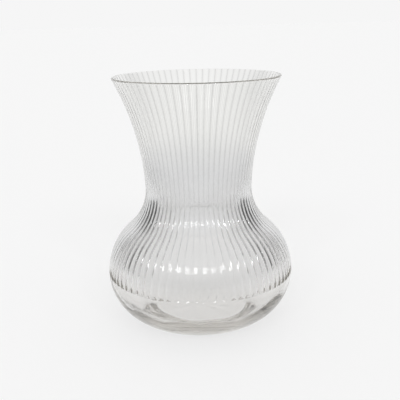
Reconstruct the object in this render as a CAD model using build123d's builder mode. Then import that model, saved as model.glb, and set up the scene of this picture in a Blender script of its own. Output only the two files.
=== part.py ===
"""Ribbed clear glass vase: round bowl, narrow neck, wide flaring mouth. Millimetres, +Z up, standing on Z = 0."""

import os
from math import acos, atan2, cos, degrees, hypot, pi, sin

from build123d import *

# outside sizes
height = 250.0
rim_diameter = 162.4
neck_diameter = 105.4
neck_height = 141.3
bulb_diameter = 186.4
bulb_height = 54.8
foot_diameter = 94.4
heel_radius = 5.0
# the bowl's round as a share of the bulb's height, the shoulder's share of the turn from bulb to neck,
# and how far the neck's round runs past its waist
bowl_share = 0.918
shoulder_share = 0.55
neck_turn = 3.0

# glass thickness
wall = 3.0
rim_wall = 2.8
lip_share = 0.4
base_thickness = 15.0

# ribs
rib_count = 72
rib_depth = 0.8
rib_start = 2.5
plain_rim = 3.0
rib_fade = 0.2
rib_inset = 0.001

rim_radius = rim_diameter / 2
neck_radius = neck_diameter / 2
bulb_radius = bulb_diameter / 2
foot_radius = foot_diameter / 2

os.makedirs("parts", exist_ok=True)

# bulb to neck is two tangent rounds that turn by the same angle
turn = 2 * atan2(bulb_radius - neck_radius, neck_height - bulb_height)
both_rounds = (neck_height - bulb_height) / sin(turn)
shoulder_radius = shoulder_share * both_rounds
neck_round = both_rounds - shoulder_radius

# the melted lip rises above its own edge by a share of the rim's thickness
lip_edge = height - lip_share * rim_wall

# the bowl's round leaves the bulb upright and runs on to the foot as a tangent line
bowl_radius = bowl_share * bulb_height
foot_x = foot_radius - (bulb_radius - bowl_radius)
foot_far = hypot(foot_x, bulb_height)
bowl_turn = atan2(bulb_height, foot_x) - acos(bowl_radius / foot_far)

with BuildLine() as outside:
    bowl = JernArc((bulb_radius, bulb_height), (0, -1), bowl_radius, -degrees(bowl_turn))
    Line(bowl @ 1, (foot_radius, 0))
    shoulder = JernArc((bulb_radius, bulb_height), (0, 1), shoulder_radius, degrees(turn))
    neck = JernArc(shoulder @ 1, shoulder % 1, neck_round, -degrees(turn) - neck_turn)
    flare = TangentArc(neck @ 1, (rim_radius, lip_edge), tangent=neck % 1)

# inside: the same rounds a wall thickness in, and a bowl that meets the thick floor flat
inner_bulb = bulb_radius - wall
inner_bowl = bulb_height - base_thickness
lean = flare % 1
inner_rim = rim_radius - rim_wall / lean.Y
lip_middle = (rim_radius + inner_rim) / 2
with BuildLine() as inside:
    inner_floor = JernArc((inner_bulb, bulb_height), (0, -1), inner_bowl, -90)
    Line(inner_floor @ 1, (0, base_thickness))
    Line((0, base_thickness), (0, lip_edge))
    Line((0, lip_edge), (inner_rim, lip_edge))
    upper = JernArc((inner_bulb, bulb_height), (0, 1), shoulder_radius - wall, degrees(turn))
    waist = JernArc(upper @ 1, upper % 1, neck_round + wall, -degrees(turn) - neck_turn)
    TangentArc(waist @ 1, (inner_rim, lip_edge), tangent=waist % 1)

# one ring of ribs at unit radius, low vee ridges
rib_low = bulb_height + rib_start
rib_top = height - plain_rim
rib_end = 1 - 0.4 * (lip_edge - rib_top) / flare.length


def rib_ring(depth):
    points = []
    for step in range(2 * rib_count):
        radius = 1 - rib_inset - depth / neck_radius * (step % 2)
        angle = pi * step / rib_count
        points.append((radius * cos(angle), radius * sin(angle)))
    with BuildSketch() as ring:
        with BuildLine():
            Polyline(*points, close=True)
        make_face()
    return ring.sketch


full_ring = rib_ring(rib_depth)
faint_ring = rib_ring(rib_fade * rib_depth)

with BuildPart() as vase_body:
    # plain bowl below the ribs and plain band at the rim
    with BuildSketch(Plane.XZ):
        with BuildLine():
            add(outside.line)
            ThreePointArc((rim_radius, lip_edge), (lip_middle, height), (inner_rim, lip_edge))
            Line((inner_rim, lip_edge), (0, lip_edge))
            Line((0, lip_edge), (0, 0))
            Line((0, 0), (foot_radius, 0))
        make_face()
        with Locations((0, (rib_low + rib_top) / 2)):
            Rectangle(2 * bulb_diameter, rib_top - rib_low, mode=Mode.SUBTRACT)
    revolve(axis=Axis.Z)
    # ribbed wall between them, climbing the shoulder, the neck and the flare
    spots = [shoulder @ (k / 5) for k in range(5)]
    spots += [neck @ (k / 5) for k in range(5)]
    spots += [flare @ (k / 5) for k in range(5)]
    spots += [flare @ 0.94, flare @ rib_end]
    for spot in spots:
        dying = spot.Y < rib_low or spot.Y > rib_top
        with BuildSketch(Plane.XY.offset(spot.Y)):
            add(scale(faint_ring if dying else full_ring, by=spot.X, mode=Mode.PRIVATE))
    loft()
    # hollow it
    with BuildSketch(Plane.XZ):
        with BuildLine():
            add(inside.line)
        make_face()
    revolve(axis=Axis.Z, mode=Mode.SUBTRACT)
    # rounded heel
    rings = vase_body.edges().filter_by(GeomType.CIRCLE)
    fillet(rings.group_by(Axis.Z)[0], radius=heel_radius)

vase_body.part.label = "vase_body"
export_step(vase_body.part, "parts/vase_body.step")
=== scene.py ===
import math

import bpy
import numpy as np
from mathutils import Matrix


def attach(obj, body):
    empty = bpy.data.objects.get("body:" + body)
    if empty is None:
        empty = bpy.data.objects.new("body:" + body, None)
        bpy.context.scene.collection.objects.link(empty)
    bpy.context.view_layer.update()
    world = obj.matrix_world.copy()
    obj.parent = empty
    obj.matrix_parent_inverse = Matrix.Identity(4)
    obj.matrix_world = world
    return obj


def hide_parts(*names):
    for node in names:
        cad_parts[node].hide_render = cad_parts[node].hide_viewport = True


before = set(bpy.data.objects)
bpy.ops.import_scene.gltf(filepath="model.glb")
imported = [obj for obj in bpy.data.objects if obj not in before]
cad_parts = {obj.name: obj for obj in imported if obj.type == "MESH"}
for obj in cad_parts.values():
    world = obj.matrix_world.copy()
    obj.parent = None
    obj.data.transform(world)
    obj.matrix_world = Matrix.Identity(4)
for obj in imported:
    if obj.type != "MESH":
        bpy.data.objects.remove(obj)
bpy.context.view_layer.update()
scene = bpy.context.scene
print("frame loaded:", sorted(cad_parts))

# sizes of the glass in metres, the outline as in the solid
vase = {
    "height": 0.250, "rimRadius": 0.0812, "neckRadius": 0.0527, "neckHeight": 0.1413,
    "bulbRadius": 0.0932, "bulbHeight": 0.0548, "bowlShare": 0.918, "footRadius": 0.0472,
    "heel": 0.005, "shoulderShare": 0.55, "neckTurn": math.radians(3),
    "wall": 0.0030, "rimWall": 0.0028, "lipRise": 0.00112, "base": 0.015,
    # ribs outside: depth as a share of the neck's radius, heights where they start and end, the flare's shallower ones
    "ribs": 72, "ribDepth": 0.0190, "fluteRound": 2.0,
    "ribLow": 0.0550, "ribStep": 0.0575, "ribTop": 0.2489, "topFade": 0.0012,
    "flareShare": 0.14, "flareLow": 0.125, "flareHigh": 0.160,
    # weaker ribs inside, on the lower wall only
    "innerShare": 0.25, "innerLow": 0.130, "innerHigh": 0.170,
    # uneven blown bowl inside: depth, heights and radii between which it dies out, waves as turns, rise, shift and share
    "sway": 0.00025, "swayHeights": (0.036, 0.060), "swayRadii": (0.010, 0.030),
    "swayWaves": ((5, 60, 0, 1.0), (9, -90, 1, 0.6), (14, 130, 2, 0.4)),
}

# mesh rows along each run of the outline, and the points across one rib, closer together at its crest
grid = {
    "foot": 3, "heel": 4, "footLine": 4, "bowl": 12, "shoulder": 32, "neck": 17, "flare": 24, "lip": 8,
    "inFlare": 15, "inNeck": 12, "inShoulder": 12, "inBowl": 14, "floor": 5,
    "shoulderCrowd": -1.4, "flareCrowd": 1.7, "poleRing": 0.004,
    "ribPlaces": (0, 0.05, 0.13, 0.27, 0.5, 0.73, 0.87, 0.95),
}


# points of an arc that starts at a point with a heading and turns by sweep: centre a radius to the side, then round it;
# crowd above 1 gathers the points towards the end, below -1 towards the start
def arcRun(start, heading, radius, sweep, steps, crowd=1.0):
    side = math.copysign(1.0, sweep)
    centre = np.array(start) + side * radius * np.array([-math.sin(heading), math.cos(heading)])
    share = np.linspace(0, 1, steps + 1)
    share = 1 - (1 - share) ** crowd if crowd > 0 else share ** -crowd
    angles = heading - side * math.pi / 2 + sweep * share
    run = centre + radius * np.stack([np.cos(angles), np.sin(angles)], axis=1)
    return run, heading + sweep


# arc that leaves a point along a heading and ends at another: it turns by twice the angle to the chord
def arcTo(start, heading, end, steps, crowd=1.0):
    chord = np.array(end) - np.array(start)
    lean = (math.atan2(chord[1], chord[0]) - heading + math.pi) % (2 * math.pi) - math.pi
    return arcRun(start, heading, np.hypot(*chord) / (2 * abs(math.sin(lean))), 2 * lean, steps, crowd)


# straight run of evenly spaced points
def lineRun(start, end, steps):
    return np.linspace(start, end, steps + 1)


# meridian of the closed glass, foot centre over the rim and back to the floor centre: tangent rounds one after another
def meridian(v, g):
    up, down = math.pi / 2, -math.pi / 2
    # bulb to neck is two rounds that turn by the same angle
    turn = 2 * math.atan2(v["bulbRadius"] - v["neckRadius"], v["neckHeight"] - v["bulbHeight"])
    both = (v["neckHeight"] - v["bulbHeight"]) / math.sin(turn)
    shoulder = v["shoulderShare"] * both
    neck = both - shoulder
    neckSweep = -turn - v["neckTurn"]
    # the bowl's round runs on to the foot as a tangent line
    bowl = v["bowlShare"] * v["bulbHeight"]
    footX = v["footRadius"] - v["bulbRadius"] + bowl
    bowlTurn = math.atan2(v["bulbHeight"], footX) - math.acos(bowl / math.hypot(footX, v["bulbHeight"]))
    equator = (v["bulbRadius"], v["bulbHeight"])
    bowlArc, _ = arcRun(equator, down, bowl, -bowlTurn, g["bowl"])
    footSlope = math.atan2(bowlArc[-1][1], bowlArc[-1][0] - v["footRadius"])
    reach = v["heel"] * math.tan(footSlope / 2)
    heelArc, _ = arcRun((v["footRadius"] - reach, 0.0), 0.0, v["heel"], footSlope, g["heel"])
    lipEdge = v["height"] - v["lipRise"]
    shoulderArc, heading = arcRun(equator, up, shoulder, turn, g["shoulder"], g["shoulderCrowd"])
    neckArc, heading = arcRun(shoulderArc[-1], heading, neck, neckSweep, g["neck"])
    flareArc, heading = arcTo(neckArc[-1], heading, (v["rimRadius"], lipEdge), g["flare"], g["flareCrowd"])
    # the lip is a low arch from the outside to the inside
    innerRim = v["rimRadius"] - v["rimWall"] / math.sin(heading)
    lipWide = (v["rimRadius"] - innerRim) / 2
    lipHalf = 2 * math.atan2(v["lipRise"], lipWide)
    lipRound = lipWide / math.sin(lipHalf)
    lipArc, _ = arcRun((v["rimRadius"], lipEdge), math.pi - lipHalf, lipRound, 2 * lipHalf, g["lip"])
    inBulb = (v["bulbRadius"] - v["wall"], v["bulbHeight"])
    inBowl, _ = arcRun(inBulb, down, v["bulbHeight"] - v["base"], -math.pi / 2, g["inBowl"])
    inShoulder, inHeading = arcRun(inBulb, up, shoulder - v["wall"], turn, g["inShoulder"])
    inNeck, inHeading = arcRun(inShoulder[-1], inHeading, neck + v["wall"], neckSweep, g["inNeck"])
    inFlare, _ = arcTo(inNeck[-1], inHeading, (innerRim, lipEdge), g["inFlare"])
    foot = lineRun((g["poleRing"], 0.0), heelArc[0], g["foot"])
    footLine = lineRun(heelArc[-1], bowlArc[-1], g["footLine"])
    floor = lineRun(inBowl[-1], (g["poleRing"], v["base"]), g["floor"])
    outside = [foot, heelArc, footLine, bowlArc[::-1], shoulderArc, neckArc, flareArc]
    inside = [lipArc, inFlare[::-1], inNeck[::-1], inShoulder[::-1], inBowl]
    outside = np.concatenate([run[:-1] for run in outside])
    inside = np.concatenate([run[:-1] for run in inside] + [floor])
    return outside, inside


# soft step from 0 to 1 between two values: t squared times 3 less 2 t
def smoothStep(value, low, high):
    t = np.clip((value - low) / (high - low), 0.0, 1.0)
    return t * t * (3 - 2 * t)


# round glass with ribs: each outside point sinks along its own normal by the depth times one less a power of its
# distance from the flute's middle, so that hollow flutes meet in ridges; the depth grows as the root of the radius,
# and the flutes are shallow in the flare; the blown inside sways a little, by three waves of angle and height
def glassMesh(v, g):
    outside, inside = meridian(v, g)
    line = np.concatenate([outside, inside])
    rows = len(line)
    along = np.gradient(line, axis=0)
    along /= np.linalg.norm(along, axis=1, keepdims=True)
    normal = np.stack([along[:, 1], -along[:, 0]], axis=1)
    isOut = (np.arange(rows) < len(outside))[:, None]
    r, z = line[:, 0][:, None], line[:, 1][:, None]
    places = np.array(g["ribPlaces"])
    turns = (np.arange(v["ribs"])[:, None] + places[None, :]).ravel()[None, :] / v["ribs"]
    angle = 2 * math.pi * turns
    cell = turns * v["ribs"] % 1.0
    groove = 1 - np.abs(1 - 2 * cell) ** v["fluteRound"]
    swell = 1 - (1 - v["flareShare"]) * smoothStep(z, v["flareLow"], v["flareHigh"])
    ends = smoothStep(z, v["ribLow"], v["ribStep"]) * (1 - smoothStep(z, v["ribTop"] - v["topFade"], v["ribTop"]))
    reach = swell * ends
    inward = -v["innerShare"] * (1 - smoothStep(z, v["innerLow"], v["innerHigh"]))
    depth = v["ribDepth"] * np.sqrt(v["neckRadius"] * r)
    sink = depth * groove * reach * np.where(isOut, 1.0, inward)
    wave = sum(share * np.sin(count * angle + rise * z + shift) for count, rise, shift, share in v["swayWaves"])
    swayReach = (1 - smoothStep(z, *v["swayHeights"])) * smoothStep(r, *v["swayRadii"]) * ~isOut
    sink = sink + v["sway"] * wave * swayReach
    radius = r - sink * normal[:, 0][:, None]
    level = z - sink * normal[:, 1][:, None]
    points = np.stack([radius * np.cos(angle), radius * np.sin(angle), level], axis=2).reshape(-1, 3)
    # quads between the rings, and a fan to the middle of the foot and of the floor
    around = angle.size
    i = np.arange(rows - 1)[:, None] * around
    j = np.arange(around)[None, :]
    k = (j + 1) % around
    quads = np.stack([i + j, i + k, i + around + k, i + around + j], axis=2).reshape(-1, 4)
    ring = np.arange(around)
    nextRing = (ring + 1) % around
    last = (rows - 1) * around
    poles = np.array([[0, 0, line[0, 1]], [0, 0, line[-1, 1]]])
    bottom = np.stack([nextRing, ring, np.full(around, len(points))], axis=1)
    floor = np.stack([last + ring, last + nextRing, np.full(around, len(points) + 1)], axis=1)
    mesh = bpy.data.meshes.new("vaseGlass")
    mesh.from_pydata(np.concatenate([points, poles]), [], quads.tolist() + bottom.tolist() + floor.tolist())
    mesh.polygons.foreach_set("use_smooth", np.ones(len(mesh.polygons), dtype=bool))
    ridgeShadeWeight = np.append((1 - groove) ** 2 * (reach > 0) * isOut, [0.0, 0.0])  # painted shade: 1 on each ridge, 0 in the flutes
    mesh.attributes.new("ridgeShade", "FLOAT", "POINT").data.foreach_set("value", ridgeShadeWeight.astype(np.float32))
    mesh.update()
    return mesh


vaseMesh = glassMesh(vase, grid)
vaseGlass = bpy.data.objects.new("vaseGlass", vaseMesh)
scene.collection.objects.link(vaseGlass)
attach(vaseGlass, "root")
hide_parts("vase_body")
print("glass:", len(vaseMesh.polygons), "faces")


# result of one math step on values or numbers in a node tree
def treeMath(nodes, operation, first, second=0.0):
    node = nodes.nodes.new("ShaderNodeMath")
    node.operation = operation
    for slotIndex, value in enumerate((first, second)):
        if isinstance(value, (int, float)):
            node.inputs[slotIndex].default_value = value
        else:
            nodes.links.new(value, node.inputs[slotIndex])
    return node.outputs[0]


# value that goes softly from one level to another as its input passes between two marks
def treeRamp(nodes, value, low, high, start=0.0, end=1.0):
    node = nodes.nodes.new("ShaderNodeMapRange")
    node.interpolation_type = "SMOOTHSTEP"
    nodes.links.new(value, node.inputs["Value"])
    for name, number in (("From Min", low), ("From Max", high), ("To Min", start), ("To Max", end)):
        node.inputs[name].default_value = number
    return node.outputs["Result"]


# 1 between two values and 0 outside them, with soft edges
def treeBand(nodes, value, low, high, soft):
    rise = treeRamp(nodes, value, low - soft, low + soft)
    fall = treeRamp(nodes, value, high - soft, high + soft, 1.0, 0.0)
    return treeMath(nodes, "MULTIPLY", rise, fall)


# angle in degrees away from the far side, the same to left and right
def sideTurn(nodes, axes):
    turned = treeMath(nodes, "ARCTAN2", axes.outputs["X"], axes.outputs["Y"])
    return treeMath(nodes, "DEGREES", treeMath(nodes, "ABSOLUTE", turned))


# clear glass with painted shade in its colour: the bowl and neck are painted greyer, for the shadowed floor seen
# through them, and the ridge of each rib is painted darker, for the dark lines that refraction draws there; each run
# gives the heights between which one tint goes over to the next
glass = {
    "index": 1.5, "absorb": (0.30, 0.26, 0.18), "density": 4.0,
    # painted shade: the bowl and neck are painted greyer than the flare, for the shadowed floor seen through them
    "baseShadeTint": (0.948, 0.943, 0.935), "neckShadeTint": (0.890, 0.892, 0.894), "flareTint": (1.0, 1.0, 0.99),
    # painted shade: dark lines painted on the ridge of each rib
    "crestShadeTint": (0.60, 0.605, 0.605),
    "baseRun": (0.050, 0.075), "flareRun": (0.162, 0.192), "crestShadeRun": (0.100, 0.200),
    "polishScale": 30.0, "polishDetail": 2.0, "polishRough": 0.012,
}
clearGlass = bpy.data.materials.new("clearGlass")
clearGlass.use_nodes = True
tree = clearGlass.node_tree
shader = tree.nodes["Principled BSDF"]
shader.inputs["IOR"].default_value = glass["index"]
shader.inputs["Transmission Weight"].default_value = 1.0


# colour mix of two tints, each a colour or a socket, by a factor socket
def glassMix(blend, factor, first, second):
    node = tree.nodes.new("ShaderNodeMix")
    node.data_type = "RGBA"
    node.blend_type = blend
    tree.links.new(factor, node.inputs["Factor"])
    for socket, value in ((node.inputs[6], first), (node.inputs[7], second)):  # the two colour sockets
        if isinstance(value, tuple):
            socket.default_value = (*value, 1)
        else:
            tree.links.new(value, socket)
    return node.outputs[2]


# soft step along the height between two marks
def glassRise(marks):
    return treeRamp(tree, objectAxes.outputs["Z"], *marks)


objectPlace = tree.nodes.new("ShaderNodeTexCoord").outputs["Object"]
objectAxes = tree.nodes.new("ShaderNodeSeparateXYZ")
tree.links.new(objectPlace, objectAxes.inputs[0])
# painted shade: the ridge of each rib is painted darker, growing in over the heights given
ridgeShade = tree.nodes.new("ShaderNodeAttribute")
ridgeShade.attribute_name = "ridgeShade"
crestShade = treeMath(tree, "MULTIPLY", ridgeShade.outputs["Fac"], glassRise(glass["crestShadeRun"]))
# painted shade: greyer glass colour low down, for the shadowed floor seen through the glass
lowerShadeTint = glassMix("MIX", glassRise(glass["baseRun"]), glass["baseShadeTint"], glass["neckShadeTint"])
wallShadeTint = glassMix("MIX", glassRise(glass["flareRun"]), lowerShadeTint, glass["flareTint"])
tint = glassMix("MULTIPLY", crestShade, wallShadeTint, glass["crestShadeTint"])
tree.links.new(tint, shader.inputs["Base Color"])
# polish that is very slightly uneven
polish = tree.nodes.new("ShaderNodeTexNoise")
polish.inputs["Scale"].default_value = glass["polishScale"]
polish.inputs["Detail"].default_value = glass["polishDetail"]
tree.links.new(objectPlace, polish.inputs["Vector"])
gloss = tree.nodes.new("ShaderNodeMapRange")
gloss.inputs["To Min"].default_value = 0.0
gloss.inputs["To Max"].default_value = glass["polishRough"]
tree.links.new(polish.outputs["Fac"], gloss.inputs["Value"])
tree.links.new(gloss.outputs["Result"], shader.inputs["Roughness"])
absorb = tree.nodes.new("ShaderNodeVolumeAbsorption")
absorb.inputs["Color"].default_value = (*glass["absorb"], 1)
absorb.inputs["Density"].default_value = glass["density"]
tree.links.new(absorb.outputs[0], tree.nodes["Material Output"].inputs["Volume"])
vaseMesh.materials.append(clearGlass)
print("clear glass set")

# pale floor, far wider than the view: most of its white is its own, so the shadow on it stays faint;
# the glass alone shows it dark far out at both sides, like a card that lies there
stage = {
    "side": 60.0, "drop": 0.0003, "albedo": 0.90, "white": 0.92, "floorWhite": 0.932, "ownWhite": 0.75,
    "cardWhite": 0.12, "cardFrom": 0.55, "cardTo": 1.2, "cardTurn": (52, 82, 9),
}
half, low = stage["side"] / 2, -stage["drop"]
floorMesh = bpy.data.meshes.new("stageFloor")
corners = [(-half, -half, low), (half, -half, low), (half, half, low), (-half, half, low)]
floorMesh.from_pydata(corners, [], [(0, 1, 2, 3)])
stageFloor = bpy.data.objects.new("stageFloor", floorMesh)
scene.collection.objects.link(stageFloor)
floorPaint = bpy.data.materials.new("floorPaint")
floorPaint.use_nodes = True
paint = floorPaint.node_tree
paint.nodes.clear()
matte = paint.nodes.new("ShaderNodeBsdfDiffuse")
matte.inputs["Color"].default_value = (stage["albedo"],) * 3 + (1,)
floorAxes = paint.nodes.new("ShaderNodeSeparateXYZ")
paint.links.new(paint.nodes.new("ShaderNodeTexCoord").outputs["Object"], floorAxes.inputs[0])
ray = paint.nodes.new("ShaderNodeLightPath")
throughGlass = treeMath(paint, "MAXIMUM", ray.outputs["Is Glossy Ray"], ray.outputs["Is Transmission Ray"])
shown = treeMath(paint, "MAXIMUM", throughGlass, ray.outputs["Is Camera Ray"])
away = treeMath(paint, "ABSOLUTE", floorAxes.outputs["X"])
atSide = treeBand(paint, sideTurn(paint, floorAxes), *stage["cardTurn"])
farOut = treeRamp(paint, away, stage["cardFrom"], stage["cardTo"])
card = treeMath(paint, "MULTIPLY", treeMath(paint, "MULTIPLY", atSide, farOut), throughGlass)
cardLoss = treeMath(paint, "MULTIPLY", card, 1 - stage["cardWhite"])
ownLevel = treeMath(paint, "MULTIPLY", treeMath(paint, "SUBTRACT", 1.0, cardLoss), stage["floorWhite"])
glow = paint.nodes.new("ShaderNodeEmission")
paint.links.new(ownLevel, glow.inputs["Strength"])
ownShare = treeMath(paint, "ADD", stage["ownWhite"], treeMath(paint, "MULTIPLY", card, 1 - stage["ownWhite"]))
surface = paint.nodes.new("ShaderNodeMixShader")
paint.links.new(treeMath(paint, "MULTIPLY", shown, ownShare), surface.inputs[0])
paint.links.new(matte.outputs[0], surface.inputs[1])
paint.links.new(glow.outputs[0], surface.inputs[2])
paint.links.new(surface.outputs[0], paint.nodes.new("ShaderNodeOutputMaterial").inputs["Surface"])
floorMesh.materials.append(floorPaint)
print("floor set")

# studio of soft panels and small windows round a pale room, and a white backdrop behind the vase;
# for each panel: side angles from the far side, their softness, heights in degrees, their softness, level added
studio = {
    "room": 0.66, "least": 0.03, "bounces": 96,
    "panels": {
        "sideCard": (48, 82, 9, -6, 32, 6.0, -0.64),
        "nearGlow": (112, 181, 12, 18, 46, 4.0, 0.25),
        "highWindow": (150, 181, 8, 38, 52, 4.0, 0.3),
        "ceiling": (-1, 181, 1, 48, 95, 6.0, 0.25),
    },
    "windows": {
        "nearWindows": (164, 170, 1.5, 27.5, 38, 1.2, 20.0),
        "outerWindows": (151, 157, 1.5, 27.5, 38, 1.2, 20.0),
    },
    "windowShare": 0.3,  # each pass through the glass dims the windows to this, so deep in it they leave no sparks
    "backTurn": (28, 48), "backLift": (40, 52),
}
world = bpy.data.worlds.new("studio")
scene.world = world
world.use_nodes = True
sky = world.node_tree
sky.nodes.clear()


# panel of light or shade: a soft band of side angles times a soft band of heights times its level;
# a side angle below 0 or past 180 leaves that edge open
def skyPanel(sideLow, sideHigh, sideSoft, liftLow, liftHigh, liftSoft, gain):
    rise = treeRamp(sky, sideAngle, sideLow - sideSoft, sideLow + sideSoft) if sideLow > 0 else 1.0
    fall = treeRamp(sky, sideAngle, sideHigh - sideSoft, sideHigh + sideSoft, 1.0, 0.0) if sideHigh < 180 else 1.0
    upright = treeBand(sky, lift, liftLow, liftHigh, liftSoft)
    return treeMath(sky, "MULTIPLY", treeMath(sky, "MULTIPLY", treeMath(sky, "MULTIPLY", rise, fall), upright), gain)


skyAxes = sky.nodes.new("ShaderNodeSeparateXYZ")
sky.links.new(sky.nodes.new("ShaderNodeTexCoord").outputs["Generated"], skyAxes.inputs[0])
sideAngle = sideTurn(sky, skyAxes)
lift = treeMath(sky, "DEGREES", treeMath(sky, "ARCSINE", skyAxes.outputs["Z"]))
path = sky.nodes.new("ShaderNodeLightPath")
dimming = treeMath(sky, "POWER", studio["windowShare"], path.outputs["Transmission Depth"])
level = studio["room"]
for panel in studio["panels"].values():
    level = treeMath(sky, "ADD", skyPanel(*panel), level)
for window in studio["windows"].values():
    level = treeMath(sky, "ADD", treeMath(sky, "MULTIPLY", skyPanel(*window), dimming), level)
level = treeMath(sky, "MAXIMUM", level, studio["least"])
# the camera sees white all round, and the glass sees it behind the vase
inGlass = treeMath(sky, "MAXIMUM", path.outputs["Is Glossy Ray"], path.outputs["Is Transmission Ray"])
backTurn = treeRamp(sky, sideAngle, *studio["backTurn"], 1.0, 0.0)
backLift = treeRamp(sky, lift, *studio["backLift"], 1.0, 0.0)
behind = treeMath(sky, "MULTIPLY", inGlass, treeMath(sky, "MULTIPLY", backTurn, backLift))
seen = sky.nodes.new("ShaderNodeMix")
sky.links.new(treeMath(sky, "MAXIMUM", behind, path.outputs["Is Camera Ray"]), seen.inputs["Factor"])
sky.links.new(level, seen.inputs["A"])
seen.inputs["B"].default_value = stage["white"]
backdrop = sky.nodes.new("ShaderNodeBackground")
backdrop.inputs["Color"].default_value = (1, 1, 1, 1)
sky.links.new(seen.outputs["Result"], backdrop.inputs["Strength"])
sky.links.new(backdrop.outputs[0], sky.nodes.new("ShaderNodeOutputWorld").inputs["Surface"])
for name in ("max_bounces", "transmission_bounces", "glossy_bounces"):
    setattr(scene.cycles, name, studio["bounces"])  # light runs far along the wall before it leaves at the lip
print("studio light set")

# camera as fitted to the picture: place in metres, pitch and roll in degrees, focal length and shift in picture widths
view = {
    "back": 0.6326, "up": 0.3018, "pitch": 15.53, "roll": -1.23,
    "focal": 652.7 / 400, "shift": 1.14 / 400, "sensor": 36.0, "clip": 0.01,
}
lens = bpy.data.cameras.new("photoCamera")
lens.sensor_width = view["sensor"]
lens.lens = view["sensor"] * view["focal"]
lens.shift_x = view["shift"]
lens.clip_start = view["clip"]
photoCamera = bpy.data.objects.new("photoCamera", lens)
scene.collection.objects.link(photoCamera)
photoCamera.matrix_world = (
    Matrix.Translation((0, -view["back"], view["up"]))
    @ Matrix.Rotation(math.radians(90 - view["pitch"]), 4, "X")
    @ Matrix.Rotation(math.radians(view["roll"]), 4, "Z")
)
scene.camera = photoCamera
scene.view_settings.view_transform = "Standard"
print("camera set")
